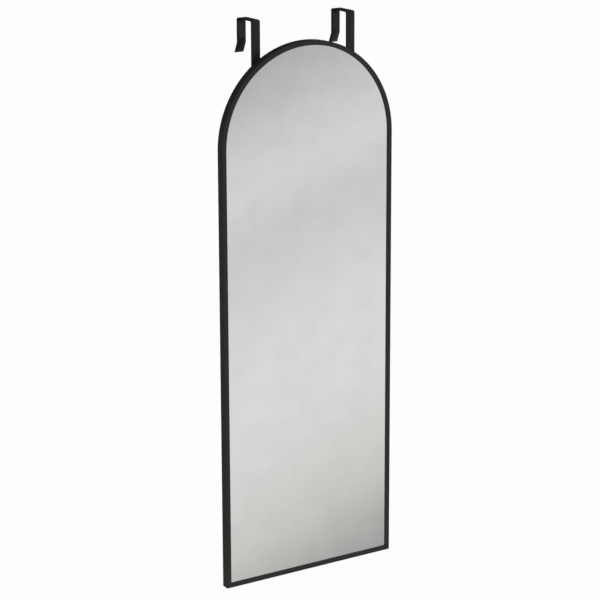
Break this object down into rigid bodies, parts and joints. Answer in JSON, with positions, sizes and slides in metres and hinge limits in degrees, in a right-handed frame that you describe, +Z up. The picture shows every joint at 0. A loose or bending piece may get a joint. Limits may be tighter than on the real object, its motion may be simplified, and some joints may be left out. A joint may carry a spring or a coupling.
{
  "type": "over the door mirror",
  "caption": "Tall arched mirror in a slim black metal frame that hangs over the top of a door on height-adjustable strap hooks.",
  "frame": {"origin": "on the top edge of the door that the mirror hangs over, midway between the two hooks, in the plane of the door's front face", "axes": "+X to the right seen from the front, +Y into the door, +Z up"},
  "size_m": [0.4, 0.0811, 1.147],
  "materials": {
    "frame": "satin",
    "mirror_glass": "polished",
    "film": "satin",
    "foam": "matte",
    "hardboard": "matte",
    "rubber": "matte",
    "zinc_steel": "satin",
    "bar_coat": "satin",
    "hook_coat": "satin",
    "pad_foam": "matte"
  },
  "bodies": {
    "mirror": {"frame_arch": "frame", "bottom_rail": "frame", "corner_key_left": "zinc_steel", "corner_key_right": "zinc_steel", "corner_screws": "zinc_steel", "mirror_glass": "mirror_glass", "safety_film": "film", "foam_sheet": "foam", "back_board": "hardboard", "setting_blocks": "rubber", "edge_spacers": "rubber", "hanger_bar": "bar_coat", "bar_screws": "zinc_steel", "clinch_nuts": "zinc_steel", "clamp_screws": "zinc_steel", "door_bumpers": "rubber"},
    "left_hook": {"hook_left": "hook_coat", "front_pad_left": "pad_foam", "rear_pad_left": "pad_foam"},
    "right_hook": {"hook_right": "hook_coat", "front_pad_right": "pad_foam", "rear_pad_right": "pad_foam"}
  },
  "joints": [
    {"name": "left_hook_height", "type": "slide", "parent": "mirror", "child": "left_hook", "axis": [0, 0, 1], "range_m": [-0.025, 0.025]},
    {"name": "right_hook_height", "type": "slide", "parent": "mirror", "child": "right_hook", "axis": [0, 0, 1], "range_m": [-0.025, 0.025]}
  ]
}
